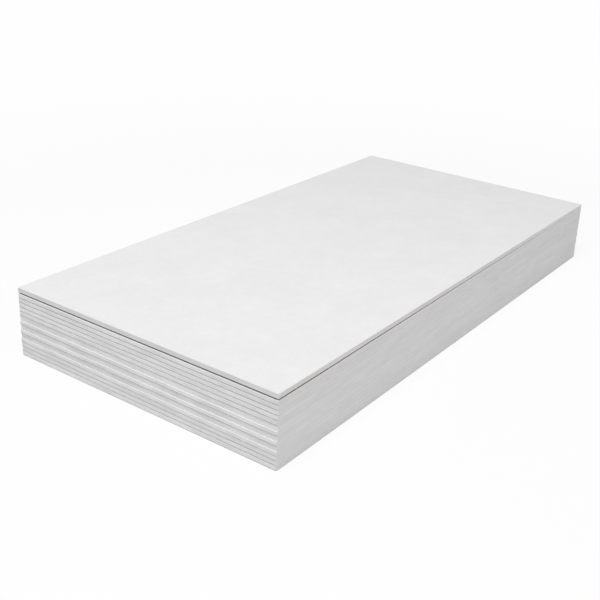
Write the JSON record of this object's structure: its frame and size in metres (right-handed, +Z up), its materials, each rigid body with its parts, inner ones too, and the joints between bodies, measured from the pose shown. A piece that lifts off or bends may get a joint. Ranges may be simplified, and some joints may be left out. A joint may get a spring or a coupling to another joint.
{
  "type": "stack of fiber cement facade panels",
  "caption": "Squared stack of large pale grey fiber cement facade panels, lying flat, with ends slightly out of line and the top panel held off the next at its near end.",
  "frame": {"origin": "on the floor, under the centre of the stack", "axes": "+X along the panels, away from the end where the top panel is held up; +Y across them; +Z up"},
  "size_m": [2.403, 1.201, 0.2754],
  "materials": {
    "fiber_cement": "matt, smooth pressed faces and finely sawn edges",
    "strip_wood": "raw, unpainted"
  },
  "bodies": {
    "root": {"panel_01": "fiber_cement", "panel_02": "fiber_cement", "panel_03": "fiber_cement", "panel_04": "fiber_cement", "panel_05": "fiber_cement", "panel_06": "fiber_cement", "panel_07": "fiber_cement", "panel_08": "fiber_cement", "panel_09": "fiber_cement", "panel_10": "fiber_cement", "panel_11": "fiber_cement", "panel_12": "fiber_cement", "panel_13": "fiber_cement", "panel_14": "fiber_cement", "panel_15": "fiber_cement", "packing_strip": "strip_wood"}
  },
  "joints": []
}
